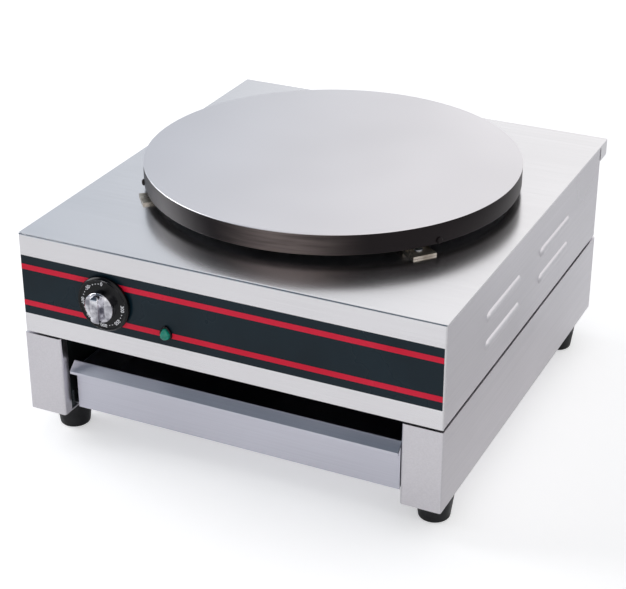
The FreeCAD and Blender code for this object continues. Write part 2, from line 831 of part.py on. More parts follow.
def make_plate_bracket(degrees):
    """A folded strip: a foot on the cover, an upright, and a flange under the pan."""
    half = bracket_width / 2
    z0 = casing_top
    z1 = pan_bottom
    outline = [vec(bracket_outer, 0, z0), vec(bracket_upright, 0, z0),
               vec(bracket_upright, 0, z1 - bracket_sheet), vec(bracket_inner, 0, z1 - bracket_sheet),
               vec(bracket_inner, 0, z1), vec(bracket_upright + bracket_sheet, 0, z1),
               vec(bracket_upright + bracket_sheet, 0, z0 + bracket_sheet),
               vec(bracket_outer, 0, z0 + bracket_sheet)]
    outline = [point + vec(0, plate_y - half, 0) for point in outline]
    bracket = extruded(outline, [0.5, 0, 0, 0, 0, 1.5, 0, 0.5], back * bracket_width)
    bracket = bracket.cut(rod(bracket_screw_radius + running,
                              vec(bracket_screw_place, plate_y, z0 - 1), up, bracket_sheet + 2))
    return turned_about_plate(bracket, degrees)


def make_bracket_screws():
    """Screws down through the brackets' feet and the cover."""
    screws = []
    for degrees in bracket_angles():
        place = about_plate(bracket_screw_place, degrees, casing_top + bracket_sheet)
        screws.append(placed(pan_screw(bracket_screw_radius, bracket_screw_length,
                                       screw_head_radius, screw_head_height), place, up))
    return Part.makeCompound(screws)


def make_bracket_nuts():
    """Nuts for the bracket screws, inside the casing."""
    nuts = []
    for degrees in bracket_angles():
        place = about_plate(bracket_screw_place, degrees, casing_top - sheet - small_nut_height)
        nut = hexagon(small_nut_across, small_nut_height, bracket_screw_radius + running)
        nuts.append(placed(nut, place, up))
    return Part.makeCompound(nuts)


def make_rim_screws():
    """Small screws through the plate's rim into the pan."""
    screws = []
    for degrees in rim_screw_angles():
        place = about_plate(plate_radius, degrees, rim_screw_z)
        screws.append(placed(pan_screw(rim_screw_radius, rim_screw_length, rim_screw_head, screw_head_height),
                             place, outward(degrees)))
    return Part.makeCompound(screws)


# Rear fittings and wiring

def make_cable_gland():
    """The gland body with its through bore for the mains lead."""
    length = gland_reach + gland_inside
    outline = [(gland_bore, -gland_inside), (gland_thread, -gland_inside), (gland_thread, 0),
               (gland_flange, 0), (gland_flange, 5), (gland_thread + 2, 7),
               (gland_thread + 1.5, gland_reach - 5), (gland_thread - 1, gland_reach),
               (gland_bore, gland_reach)]
    gland = turned(outline, [0.5, 0.5, 0, 0.8, 0.8, 1, 2, 1, 0.8])
    ribs = []
    for k in range(gland_rib_count):
        rib = block(gland_thread + 0.5, gland_thread + 2.3, -0.8, 0.8, 8, gland_reach - 6)
        rib.rotate(vec(0, 0, 0), up, 360 / gland_rib_count * k)
        ribs.append(rib)
    gland = joined(gland, ribs)
    return placed(gland, vec(gland_x, casing_back, gland_z), back)


def make_gland_nut():
    """The lock nut inside the rear panel."""
    nut = hexagon(gland_nut_across, gland_nut_height, gland_thread + running)
    return placed(nut, vec(gland_x, casing_back - sheet, gland_z), front)


def make_bonding_stud():
    """The stepped earth stud: a thick shank through the rear panel, and a thinner free end for the lug."""
    start = casing_back - sheet - bond_inside
    shoulder = casing_back + bond_shoulder
    shank = rod(bond_shank_radius, vec(bond_x, start, gland_z), back, shoulder - start)
    return joined(shank, [rod(bond_radius, vec(bond_x, shoulder - 1, gland_z), back, bond_free_length + 1)])


def make_bonding_nuts():
    """The two nuts that clamp the stud to the rear panel."""
    nut = hexagon(bond_nut_across, bond_nut_height, bond_shank_radius + running)
    outside = placed(nut, vec(bond_x, casing_back, gland_z), back)
    inside = placed(nut, vec(bond_x, casing_back - sheet, gland_z), front)
    return Part.makeCompound([outside, inside])


def make_rear_screws():
    """The screws of the rear panel."""
    screws = []
    for sx in (-1, 1):
        for z in rear_screw_heights():
            place = vec(sx * rear_screw_x, casing_back, z)
            screw = pan_screw(rear_screw_radius, rear_screw_length, rear_screw_head, screw_head_height)
            screws.append(placed(screw, place, back))
    return Part.makeCompound(screws)


def make_terminal_block():
    """The block on the casing floor where the lead and the wires meet."""
    half = pole_count * pole_pitch / 2
    near = terminal_y - terminal_width / 2
    far = terminal_y + terminal_width / 2
    top = terminal_z + terminal_height
    body = block(terminal_x - half, terminal_x + half, near, far, terminal_z, top)
    cuts = []
    for k in range(1, pole_count):
        x = terminal_x - half + pole_pitch * k
        cuts.append(block(x - pole_groove / 2, x + pole_groove / 2, near - 1, far + 1,
                          pole_height + pole_bore * 2, top + 1))
    cuts += [front_hole(pole_x(k), pole_height, pole_bore, near - 1, near + pole_depth)
             for k in range(pole_count)]
    return without(body, cuts)


def pole_x(k):
    """The middle of one pole of the terminal block."""
    return terminal_x + pole_pitch * (k - (pole_count - 1) / 2)


def make_internal_wires():
    """The leads from the terminal block to the switch box, the heaters and the lamp."""
    y_end = terminal_y - terminal_width / 2 + wire_in_pole
    heater_low = ring_height - terminal_bend - terminal_drop
    runs = []
    for k, x in enumerate(switch_tag_xs):
        aside = 8 * k
        runs.append([vec(pole_x(k), y_end, pole_height), vec(pole_x(k), y_end - 52 - aside, pole_height),
                     vec(knob_x + 60, switch_tag_end + 70 + aside, pole_height),
                     vec(x, switch_tag_end + 40, switch_tag_z), vec(x, switch_tag_end, switch_tag_z)])
    for k, x in enumerate(lamp_tag_xs):
        aside = 7 * k
        runs.append([vec(pole_x(k + 2), y_end, pole_height), vec(pole_x(k + 2), y_end - 51 - aside, pole_height),
                     vec(x + 50, lamp_tag_end + 60, pole_height + 4),
                     vec(x, lamp_tag_end + 30, lamp_z), vec(x, lamp_tag_end, lamp_z)])
    tip = terminal_point(outer_ring_radius, outer_gap_angle, 1)
    runs.append([vec(pole_x(4), y_end, pole_height), vec(pole_x(4), y_end - 22, pole_height),
                 vec(tip.x + 14, tip.y - 46, pole_height + 12), vec(tip.x, tip.y - 20, heater_low - 16),
                 vec(tip.x, tip.y, heater_low - 12), vec(tip.x, tip.y, heater_low)])
    wires = []
    for points in runs:
        radii = [0] + [fitting_radius(points, i) for i in range(1, len(points) - 1)] + [0]
        wires.append(tube(points, radii, wire_radius))
    return Part.makeCompound(wires)


def fitting_radius(points, i):
    """The largest arc that the two runs at a point allow."""
    before = points[i - 1] - points[i]
    after = points[i + 1] - points[i]
    shorter = min(before.Length, after.Length)
    turn = math.pi - before.getAngle(after)
    return 0.45 * shorter / math.tan(turn / 2)


def terminal_point(radius, gap_angle, sign):
    """Where a heater's terminal comes straight down."""
    angle = math.radians(90 - sign * gap_angle)
    tip = vec(radius * math.cos(angle), plate_y + radius * math.sin(angle), 0)
    along = vec(-math.sin(angle) * sign, math.cos(angle) * sign, 0)
    return tip + along * terminal_bend


# Base

def leg_plan(side, inset, opened):
    """The outline of one side of the base from above."""
    outer = base_half - inset
    inner = leg_inner + (inset if not opened else -5)
    y0 = base_front + inset
    y1 = base_back - inset
    soft = max(corner_round - inset, 0.3)
    fold = max(fold_round - inset, 0.3)
    points = [vec(side * outer, y0, base_bottom), vec(side * inner, y0, base_bottom),
              vec(side * inner, y1, base_bottom), vec(side * outer, y1, base_bottom)]
    return points, [soft, fold, fold, soft]


def make_base_side(side):
    """One side of the base: side wall, two legs and their flanges, folded from one sheet."""
    points, radii = leg_plan(side, 0, False)
    frame = extruded(points, radii, up * base_height)
    points, radii = leg_plan(side, sheet, False)
    hollow = extruded(points, radii, up * (base_height - 2 * sheet))
    hollow.translate(up * sheet)
    frame = frame.cut(hollow)
    window = block(side * (leg_inner - 1), side * (leg_inner + sheet + 0.5),
                   base_front + fold_return, base_back - fold_return,
                   base_bottom + sheet, base_top - sheet)
    frame = frame.cut(window)
    holes = [rod(foot_screw_radius + running, vec(x, y, base_bottom - 1), up, 5)
             for x, y in foot_places if x * side > 0]
    holes += [rod(floor_bolt_radius + running, vec(x, y, base_top - 3), up, 5)
              for x, y in floor_bolt_places if x * side > 0]
    return without(frame, holes)


def make_inner_wall(side):
    """The wall that closes the base side towards the drawer."""
    x0 = side * (leg_inner + sheet)
    x1 = side * (leg_inner + 2 * sheet)
    lap = fold_return / 2
    return block(x0, x1, base_front + lap, base_back - lap, base_bottom + sheet, base_top - sheet)


def make_runner(side):
    """The angle that the drawer slides on, with a stop at its rear end."""
    wall = leg_inner
    y0 = drawer_y + sheet + touch
    y1 = base_back - fold_return - touch
    upright = block(side * wall, side * (wall + sheet), y0, y1,
                    ledge_top - sheet, ledge_top - sheet + runner_height)
    ledge = block(side * runner_ledge, side * (wall + sheet), y0, y1, ledge_top - sheet, ledge_top)
    stop = block(side * runner_ledge, side * (wall + sheet), tray_back + touch,
                 tray_back + touch + sheet, ledge_top - sheet, ledge_top - sheet + runner_height)
    return joined(upright, [ledge, stop])


def make_base_rear_panel():
    """The back of the base between its two sides, with four folded edges."""
    x = leg_inner - touch
    panel = block(-x, x, base_back - flange, base_back, base_bottom, base_top)
    hollow = block(-x + sheet, x - sheet, base_back - flange - 1, base_back - sheet,
                   base_bottom + sheet, base_top - sheet)
    return panel.cut(hollow)


def make_foot(x, y):
    """A tapered rubber foot with a deep recess for its screw."""
    outline = [(foot_screw_radius + running, foot_recess_depth), (foot_recess, foot_recess_depth),
               (foot_recess, 0), (foot_bottom_radius, 0), (foot_top_radius, foot_height),
               (foot_screw_radius + running, foot_height)]
    foot = turned(outline, [0, 1, 0.5, foot_round, 1.0, 0])
    foot.translate(vec(x, y, 0))
    return foot


def make_foot_screws():
    """The screws up through the feet."""
    screws = []
    for x, y in foot_places:
        screw = pan_screw(foot_screw_radius, foot_height - foot_recess_depth + foot_screw_grip,
                          foot_screw_head, foot_head_height)
        screws.append(placed(screw, vec(x, y, foot_recess_depth), down))
    return Part.makeCompound(screws)


def make_foot_nuts():
    """The nuts inside the base that hold the feet."""
    nuts = [placed(hexagon(foot_nut_across, nut_height, foot_screw_radius + running),
                   vec(x, y, base_bottom + sheet), up) for x, y in foot_places]
    return Part.makeCompound(nuts)


def make_floor_bolts():
    """The bolts that hold the casing floor down on the base."""
    bolts = []
    for x, y in floor_bolt_places:
        head = hexagon(small_nut_across, floor_bolt_head, 0)
        head.translate(down * floor_bolt_head)
        shank = rod(floor_bolt_radius, vec(0, 0, -0.5), up, floor_bolt_length + 0.5)
        bolts.append(placed(joined(head, [shank]), vec(x, y, base_top - sheet), up))
    return Part.makeCompound(bolts)


def make_floor_nuts():
    """The nuts of the floor bolts, inside the casing."""
    nut = hexagon(small_nut_across, small_nut_height, floor_bolt_radius + running)
    nuts = [placed(nut, vec(x, y, base_top + hem_sheet), up) for x, y in floor_bolt_places]
    return Part.makeCompound(nuts)


# Drawer

def make_drawer_tray():
    """The open tray that catches drips, with a turned-over rim."""
    y0 = drawer_y + sheet
    z1 = tray_bottom + tray_wall
    points = [vec(-tray_half, y0, tray_bottom), vec(tray_half, y0, tray_bottom),
              vec(tray_half, tray_back, tray_bottom), vec(-tray_half, tray_back, tray_bottom)]
    tray = extruded(points, [1.0, 1.0, 3.0, 3.0], up * tray_wall)
    inner = [vec(-tray_half + tray_sheet, y0 + tray_sheet, tray_bottom),
             vec(tray_half - tray_sheet, y0 + tray_sheet, tray_bottom),
             vec(tray_half - tray_sheet, tray_back - tray_sheet, tray_bottom),
             vec(-tray_half + tray_sheet, tray_back - tray_sheet, tray_bottom)]
    hollow = extruded(inner, [0.5, 0.5, 2.0, 2.0], up * tray_wall)
    hollow.translate(up * tray_sheet)
    tray = tray.cut(hollow)
    lip_outer = block(-tray_half + tray_sheet / 2, tray_half - tray_sheet / 2, y0 + tray_sheet / 2,
                      tray_back - tray_sheet / 2, z1 - tray_sheet, z1)
    lip_hole = block(-tray_half + tray_rim, tray_half - tray_rim, y0 + tray_rim, tray_back - tray_rim,
                     z1 - 2 * tray_sheet, z1 + tray_sheet)
    return joined(tray, [lip_outer.cut(lip_hole)])


def make_drawer_front():
    """The drawer's face, its top folded out and down into a sloping handle lip."""
    y0 = drawer_y
    z1 = drawer_top
    out_y = y0 - handle_reach
    out_z = z1 - handle_drop
    fold = 2 * sheet
    face = block(-drawer_half_width, drawer_half_width, y0, y0 + sheet, drawer_bottom, z1 - fold)
    lip_half = drawer_half_width + handle_overhang
    outline = [vec(0, y0 + sheet, z1 - 2 * fold), vec(0, y0 + sheet, z1),
               vec(0, out_y, out_z), vec(0, out_y, out_z - handle_return),
               vec(0, out_y + sheet, out_z - handle_return), vec(0, out_y + sheet, out_z - sheet),
               vec(0, y0, z1 - fold), vec(0, y0, z1 - 2 * fold)]
    outline = [point + vec(-lip_half, 0, 0) for point in outline]
    lip = extruded(outline, [0, 1.2, 0.8, 0.3, 0.3, 0.3, 0, 0], vec(2 * lip_half, 0, 0))
    return joined(face, [lip])


pieces = {
    "top_cover": make_top_cover(),
    "left_side_panel": make_side_panel(-1),
    "right_side_panel": make_side_panel(1),
    "rear_panel": make_rear_panel(),
    "casing_floor": make_casing_floor(),
    "control_decal": make_control_decal(),
    "red_stripes": make_red_stripes(),
    "knob_skirt": make_knob_skirt(),
    "knob_cap": make_knob_cap(),
    "thermostat_shaft": make_thermostat_shaft(),
    "thermostat_body": make_thermostat_body(),
    "thermostat_screws": make_thermostat_screws(),
    "sensing_bulb": make_sensing_bulb(),
    "lamp_bezel": make_lamp_bezel(),
    "lamp_lens": make_lamp_lens(),
    "lamp_body": make_lamp_body(),
    "lamp_nut": make_lamp_nut(),
    "griddle_plate": make_griddle_plate(),
    "outer_heating_element": ring_element(outer_ring_radius, outer_gap_angle),
    "inner_heating_element": ring_element(inner_ring_radius, inner_gap_angle),
    "element_clamp_disc": make_clamp_disc(),
    "insulation_pad": make_insulation_pad(),
    "heat_shield_pan": make_heat_shield_pan(),
    "clamp_stud": make_clamp_stud(),
    "clamp_nut": make_clamp_nut(),
    "bracket_screws": make_bracket_screws(),
    "bracket_nuts": make_bracket_nuts(),
    "rim_screws": make_rim_screws(),
    "cable_gland": make_cable_gland(),
    "gland_nut": make_gland_nut(),
    "bonding_stud": make_bonding_stud(),
    "bonding_nuts": make_bonding_nuts(),
    "rear_panel_screws": make_rear_screws(),
    "terminal_block": make_terminal_block(),
    "internal_wires": make_internal_wires(),
    "base_left_side": make_base_side(-1),
    "base_right_side": make_base_side(1),
    "base_left_inner_wall": make_inner_wall(-1),
    "base_right_inner_wall": make_inner_wall(1),
    "drawer_runner_left": make_runner(-1),
    "drawer_runner_right": make_runner(1),
    "base_rear_panel": make_base_rear_panel(),
    "foot_screws": make_foot_screws(),
    "foot_nuts": make_foot_nuts(),
    "floor_bolts": make_floor_bolts(),
    "floor_nuts": make_floor_nuts(),
    "drawer_tray": make_drawer_tray(),
    "drawer_front": make_drawer_front(),
}
for name, degrees in zip(("rear_right", "rear_left", "front_left", "front_right"), bracket_angles()):
    pieces["plate_bracket_" + name] = make_plate_bracket(degrees)
for name, place in zip(("front_left", "rear_left", "front_right", "rear_right"), foot_places):
    pieces["foot_" + name] = make_foot(*place)

os.makedirs("parts", exist_ok=True)
for name, shape in pieces.items():
    for solid in shape.Solids:
        if not solid.isValid() or not solid.isClosed():
            print("not a sound solid:", name)
    print(name, len(shape.Solids), round(shape.Volume))
    shape.exportStep("parts/" + name + ".step")
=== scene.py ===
import json
import math

import bmesh
import bpy
import numpy as np
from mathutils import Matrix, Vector

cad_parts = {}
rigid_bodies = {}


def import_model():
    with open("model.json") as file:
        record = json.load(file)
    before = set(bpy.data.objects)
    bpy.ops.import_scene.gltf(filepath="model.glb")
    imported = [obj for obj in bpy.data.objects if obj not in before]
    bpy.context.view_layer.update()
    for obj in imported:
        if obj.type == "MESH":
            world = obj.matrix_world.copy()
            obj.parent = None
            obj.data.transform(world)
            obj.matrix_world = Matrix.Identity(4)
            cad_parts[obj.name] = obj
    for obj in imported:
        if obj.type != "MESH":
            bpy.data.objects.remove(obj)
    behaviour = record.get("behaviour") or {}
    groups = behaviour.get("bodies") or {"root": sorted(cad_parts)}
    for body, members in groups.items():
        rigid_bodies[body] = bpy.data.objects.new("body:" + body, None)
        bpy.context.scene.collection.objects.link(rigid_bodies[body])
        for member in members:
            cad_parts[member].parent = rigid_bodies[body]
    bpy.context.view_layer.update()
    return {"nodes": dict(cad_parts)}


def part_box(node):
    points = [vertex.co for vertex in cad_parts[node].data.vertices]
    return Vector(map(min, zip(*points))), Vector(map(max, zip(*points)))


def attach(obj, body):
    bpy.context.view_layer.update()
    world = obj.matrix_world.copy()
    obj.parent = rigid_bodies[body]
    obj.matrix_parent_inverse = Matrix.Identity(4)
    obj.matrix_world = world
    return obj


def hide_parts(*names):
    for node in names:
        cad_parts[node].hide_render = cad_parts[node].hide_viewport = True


for thing in list(bpy.data.objects):
    bpy.data.objects.remove(thing)
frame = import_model()


# The base's side frames
# Each is one folded sheet of 430 stainless steel, 1.2 mm thick, with a leg face bent round at its front and
# rear. The sheet is belt-ground before it is folded, which leaves a faint grain along it and a soft, satin
# shine.

def linear(hex_colour):
    """Turns an sRGB hex colour such as "#BEBBC1" into the linear RGBA that the shaders work in."""
    parts = [int(hex_colour[i:i + 2], 16) / 255 for i in (1, 3, 5)]
    return [p / 12.92 if p <= 0.04045 else ((p + 0.055) / 1.055) ** 2.4 for p in parts] + [1.0]


def new_material(name, viewport_colour):
    """Starts a material that holds only a Principled shader and its output, and gives the tree and the
    shader."""
    material = bpy.data.materials.new(name)
    material.diffuse_color = linear(viewport_colour)
    material.use_nodes = True
    return material, material.node_tree, material.node_tree.nodes["Principled BSDF"]


def add_node(tree, kind, inputs=None, output=0, **settings):
    """Adds one node, sets its properties, fills each input with a value or with another node's output, and
    gives the output asked for."""
    node = tree.nodes.new(kind)
    for name, value in settings.items():
        setattr(node, name, value)
    for name, value in (inputs or {}).items():
        if isinstance(value, bpy.types.NodeSocket):
            tree.links.new(value, node.inputs[name])
        else:
            node.inputs[name].default_value = value
    return node.outputs[output]


def ground_steel(name, dark, light, grain_along, roughness):
    """Belt-ground stainless steel. The grain is noise stretched along one axis. On the real sheet its lines
    are about 0.1 mm wide, too fine to show, so they are drawn 1.5 mm wide and 150 mm long. Clouds about 120
    mm wide are the marks of wiping, which make the shine a little softer in places."""
    material, tree, shader = new_material(name, light)
    place = add_node(tree, "ShaderNodeTexCoord", output="Object")
    stretch = [1 / 0.150 if axis == grain_along else 1 / 0.0015 for axis in "xyz"]
    along = add_node(tree, "ShaderNodeMapping", {"Vector": place, "Scale": stretch})
    grain = add_node(tree, "ShaderNodeTexNoise", {"Vector": along, "Scale": 1.0, "Detail": 2.0})
    wiping = add_node(tree, "ShaderNodeTexNoise", {"Vector": place, "Scale": 1 / 0.120, "Detail": 1.0})
    tone = add_node(tree, "ShaderNodeMath", {0: grain, 1: wiping}, operation="ADD")
    share = add_node(tree, "ShaderNodeMapRange", {"Value": tone, "From Min": 0.75, "From Max": 1.25})
    colour = add_node(tree, "ShaderNodeMix", {"Factor": share, 6: linear(dark), 7: linear(light)}, output=2,
                      data_type="RGBA")
    softness = add_node(tree, "ShaderNodeMapRange", {"Value": wiping, "From Min": 0.3, "From Max": 0.7,
                                                     "To Min": roughness, "To Max": roughness + 0.05})
    relief = add_node(tree, "ShaderNodeBump", {"Height": grain, "Strength": 0.05, "Distance": 0.0001})
    tree.links.new(colour, shader.inputs["Base Color"])
    tree.links.new(softness, shader.inputs["Roughness"])
    tree.links.new(relief, shader.inputs["Normal"])
    shader.inputs["Metallic"].default_value = 1.0
    return material


def dress(material, *node_names):
    """Gives CAD nodes a material."""
    for node_name in node_names:
        for slot in frame["nodes"][node_name].material_slots:
            slot.material = material


# Painted shade: the lengthways steel of the sides is a shade darker than the crossways steel.
side_steel_painted_shade = ground_steel("ground_stainless_lengthways_painted_shade", "#DBD8DC", "#E3E0E4", "y", 0.27)
front_steel = ground_steel("ground_stainless_crossways", "#E0DDE1", "#E6E3E7", "x", 0.27)
dress(side_steel_painted_shade, "base_left_side", "base_right_side")


# The base's inner walls, its rear panel and the casing floor
# Plain folded sheets of the same steel, which close the base and carry the drawer's runners. The inner
# walls and the casing floor are painted near black, as painted shade inside the base.

def mottled(name, dark, light, roughness, patch, metal=0.0, shine=0.5, grain=0.0012, depth=0.00003):
    """A finish whose colour drifts from dark to light in patches of that width, in metres. Its roughness
    drifts with the colour, a fifth either way, and a grain of that width stands out by the depth."""
    material, tree, shader = new_material(name, light)
    place = add_node(tree, "ShaderNodeTexCoord", output="Object")
    patches = add_node(tree, "ShaderNodeTexNoise", {"Vector": place, "Scale": 1 / patch, "Detail": 3.0})
    share = add_node(tree, "ShaderNodeMapRange", {"Value": patches, "From Min": 0.35, "From Max": 0.65})
    colour = add_node(tree, "ShaderNodeMix", {"Factor": share, 6: linear(dark), 7: linear(light)}, output=2,
                      data_type="RGBA")
    softness = add_node(tree, "ShaderNodeMapRange", {"Value": share, "To Min": roughness * 1.2,
                                                     "To Max": roughness * 0.8})
    grains = add_node(tree, "ShaderNodeTexNoise", {"Vector": place, "Scale": 1 / grain, "Detail": 1.0})
    relief = add_node(tree, "ShaderNodeBump", {"Height": grains, "Strength": 0.4, "Distance": depth})
    tree.links.new(colour, shader.inputs["Base Color"])
    tree.links.new(softness, shader.inputs["Roughness"])
    tree.links.new(relief, shader.inputs["Normal"])
    shader.inputs["Metallic"].default_value = metal
    shader.inputs["Specular IOR Level"].default_value = shine
    return material


# Painted shade: the steel is near black, with charcoal patches at random.
shade_dark_steel = mottled("stainless_painted_shade", "#14191A", "#30383B", 0.5, patch=0.040, metal=0.5,
                       shine=0.3)
dress(shade_dark_steel, "base_left_inner_wall", "base_right_inner_wall", "casing_floor")
dress(front_steel, "base_rear_panel")


# The drawer's runners, the heaters' clamp and shield, and the screws and nuts
# Pressed or turned from mild steel and zinc plated. The zinc's crystals, about 2 mm wide, show as a bluish
# mottle.

zinc_plate = mottled("bright_zinc_plate", "#9A9EA3", "#B7BABF", 0.34, patch=0.002, metal=1.0)
dress(zinc_plate, "drawer_runner_left", "drawer_runner_right", "foot_screws", "foot_nuts", "floor_bolts",
      "floor_nuts", "rear_panel_screws", "thermostat_screws", "element_clamp_disc", "heat_shield_pan",
      "clamp_stud", "clamp_nut", "bracket_screws", "bracket_nuts")


# The four feet
# Tapered feet moulded in black nitrile rubber, each held by a screw up through its middle. The rubber is
# dull, with a fine moulded grain, and paler where it has been scuffed.

nitrile_rubber = mottled("moulded_nitrile_rubber", "#0B0B0D", "#17181B", 0.42, patch=0.012, shine=0.35,
                         grain=0.0005)
dress(nitrile_rubber, "foot_front_left", "foot_front_right", "foot_rear_left", "foot_rear_right")


# The drip drawer
# A folded tray with a front of the same steel, whose top edge is bent out into a sloping handle lip. Its
# steel is painted a shade darker and bluer than the casing's, as painted shade.

# Painted shade: a darker, bluer copy of the casing's steel.
drawer_steel_painted_shade = ground_steel("ground_stainless_drawer_painted_shade", "#D2D2DC", "#D9D9E3", "x", 0.28)
dress(drawer_steel_painted_shade, "drawer_front", "drawer_tray")


# The casing
# The top, the front apron and the rear lip are one folded sheet, ground across the machine. The side
# panels, with their pressed louvres, are ground from front to back. The top sheet's steel is painted
# lighter than the other copies of the steel, as painted light.

# Painted light: the top sheet's steel is given a lighter colour than the rest.
top_steel_painted_light = ground_steel("ground_stainless_top_painted_light", "#EBE9EB", "#F1EFF1", "x", 0.19)
dress(top_steel_painted_light, "top_cover")
dress(front_steel, "rear_panel")
dress(side_steel_painted_shade, "left_side_panel", "right_side_panel")


# The control strip
# A polycarbonate film stuck on the apron, printed slate blue with two red lines on its back and varnished
# satin.

varnish_relief = 0.000002
slate_film = mottled("slate_printed_film", "#091D27", "#0C232E", 0.32, patch=0.060, shine=0.25,
                     depth=varnish_relief)
red_film = mottled("red_printed_film", "#E81E3E", "#EF2646", 0.34, patch=0.060, shine=0.2,
                   depth=varnish_relief)
dress(slate_film, "control_decal")
dress(red_film, "red_stripes")


# The heating elements and the pad under them
# Sheathed rods of nickel alloy, bent to two rings and clamped under the plate. Heat has oxidised them to a
# dull brown grey. Below them lies felt of ceramic fibre, off-white and without shine.

nickel_alloy = mottled("oxidised_nickel_alloy", "#3A3836", "#55504B", 0.5, patch=0.020, metal=0.7)
fibre_felt = mottled("ceramic_fibre_felt", "#D8D3C8", "#E6E2DA", 0.9, patch=0.010, depth=0.0003)
dress(nickel_alloy, "outer_heating_element", "inner_heating_element")
dress(fibre_felt, "insulation_pad")


# The griddle plate and the small screws in its rim
# Grey cast iron turned on a lathe: the face is ground to a satin grey, and the rim and the hollow below
# keep a skin of baked oil, black with a brown cast. A grey-brown highlight is painted in streaks round the
# front of the rim.

def rounded(corners, cuts, steps=6):
    """A profile whose inner corners are cut back by those lengths and rounded between the cuts by a
    parabola, (1 - t)^2 P + 2 t (1 - t) C + t^2 Q for a corner C and its cuts P and Q."""
    corners = np.array(corners, float)
    t = np.linspace(0, 1, steps)[:, None]
    points = [corners[:1]]
    for before, corner, after, cut in zip(corners[:-2], corners[1:-1], corners[2:], cuts):
        p = corner + (before - corner) / np.linalg.norm(before - corner) * cut
        q = corner + (after - corner) / np.linalg.norm(after - corner) * cut
        points.append((1 - t) ** 2 * p + 2 * t * (1 - t) * corner + t ** 2 * q)
    return np.concatenate(points + [corners[-1:]])


def turned(profile, spokes=160):
    """Points and faces of a profile of (radius, height) points turned about the Z axis. Ring i and spoke j
    meet at (r_i cos a_j, r_i sin a_j, h_i), with a_j going evenly round. A profile that starts and ends on
    the axis closes there, and any other closes on itself."""
    profile = np.array(profile, float)
    closed = profile[0, 0] > 1e-9
    ring = profile if closed else profile[1:-1]
    angle = np.linspace(0, 2 * np.pi, spokes, endpoint=False)
    points = np.stack([np.outer(ring[:, 0], np.cos(angle)), np.outer(ring[:, 0], np.sin(angle)),
                       np.repeat(ring[:, 1:], spokes, 1)], -1).reshape(-1, 3)
    i, j = np.meshgrid(np.arange(len(ring) if closed else len(ring) - 1), np.arange(spokes), indexing="ij")
    side, up = (j + 1) % spokes, (i + 1) % len(ring)
    faces = np.stack([i * spokes + j, i * spokes + side, up * spokes + side, up * spokes + j], -1)
    faces = faces.reshape(-1, 4).tolist()
    if not closed:
        around = np.arange(spokes)
        for first, height in ((0, profile[0, 1]), (len(points) - spokes, profile[-1, 1])):
            fan = [first + around, first + (around + 1) % spokes, 0 * around + len(points)]
            faces += np.stack(fan, -1).tolist()
            points = np.vstack([points, [0, 0, height]])
    return points, faces


def add_piece(name, points, faces, body, materials, replaced=()):
    """Makes a mesh with its faces outwards, smooth but for edges of more than 32 degrees, and puts it into
    the scene as a piece that rides on a body and stands for the CAD nodes named."""
    mesh = bpy.data.meshes.new(name)
    mesh.from_pydata(np.asarray(points).tolist(), [], faces)
    shell = bmesh.new()
    shell.from_mesh(mesh)
    bmesh.ops.recalc_face_normals(shell, faces=shell.faces)
    shell.to_mesh(mesh)
    shell.free()
    mesh.shade_smooth()
    mesh.set_sharp_from_angle(angle=math.radians(32))
    for material in materials:
        mesh.materials.append(material)
    piece = bpy.data.objects.new(name, mesh)
    bpy.context.scene.collection.objects.link(piece)
    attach(piece, body)
    if replaced:
        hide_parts(*replaced)
    return mesh


plate_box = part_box("griddle_plate")
plate_middle = (plate_box[0] + plate_box[1]) / 2
plate_radius = (plate_box[1].x - plate_box[0].x) / 2
plate_bottom, plate_top = plate_box[0].z, plate_box[1].z
face_thickness, skirt_width, boss_radius, boss_height = 0.009, 0.010, 0.012, 0.006
hollow_top, hollow_radius = plate_top - face_thickness, plate_radius - skirt_width
ground_depth = 0.0007


def ground_iron(name, dark, light):
    """Ground cast iron: pale grey and satin. The lathe's rings are 0.25 mm apart on the real face, too fine
    to show, so they are drawn 3 mm apart and faint, as a noise read along the distance from the middle.
    Clouds about 160 mm wide are where batter and scraper have polished it."""
    material, tree, shader = new_material(name, light)
    place = add_node(tree, "ShaderNodeTexCoord", output="Object")
    flat = add_node(tree, "ShaderNodeVectorMath", {0: place, 1: (1.0, 1.0, 0.0)}, operation="MULTIPLY")
    reach = add_node(tree, "ShaderNodeVectorMath", {0: flat, 1: (plate_middle.x, plate_middle.y, 0.0)},
                     output="Value", operation="DISTANCE")
    rings = add_node(tree, "ShaderNodeTexNoise", {"W": reach, "Scale": 1 / 0.003, "Detail": 1.0},
                     noise_dimensions="1D")
    polish = add_node(tree, "ShaderNodeTexNoise", {"Vector": place, "Scale": 1 / 0.160, "Detail": 1.0})
    share = add_node(tree, "ShaderNodeMapRange", {"Value": polish, "From Min": 0.3, "From Max": 0.7})
    colour = add_node(tree, "ShaderNodeMix", {"Factor": share, 6: linear(dark), 7: linear(light)}, output=2,
                      data_type="RGBA")
    softness = add_node(tree, "ShaderNodeMapRange", {"Value": polish, "From Min": 0.3, "From Max": 0.7,
                                                     "To Min": 0.36, "To Max": 0.31})
    relief = add_node(tree, "ShaderNodeBump", {"Height": rings, "Strength": 0.03, "Distance": 0.0001})
    tree.links.new(colour, shader.inputs["Base Color"])
    tree.links.new(softness, shader.inputs["Roughness"])
    tree.links.new(relief, shader.inputs["Normal"])
    shader.inputs["Metallic"].default_value = 1.0
    return material


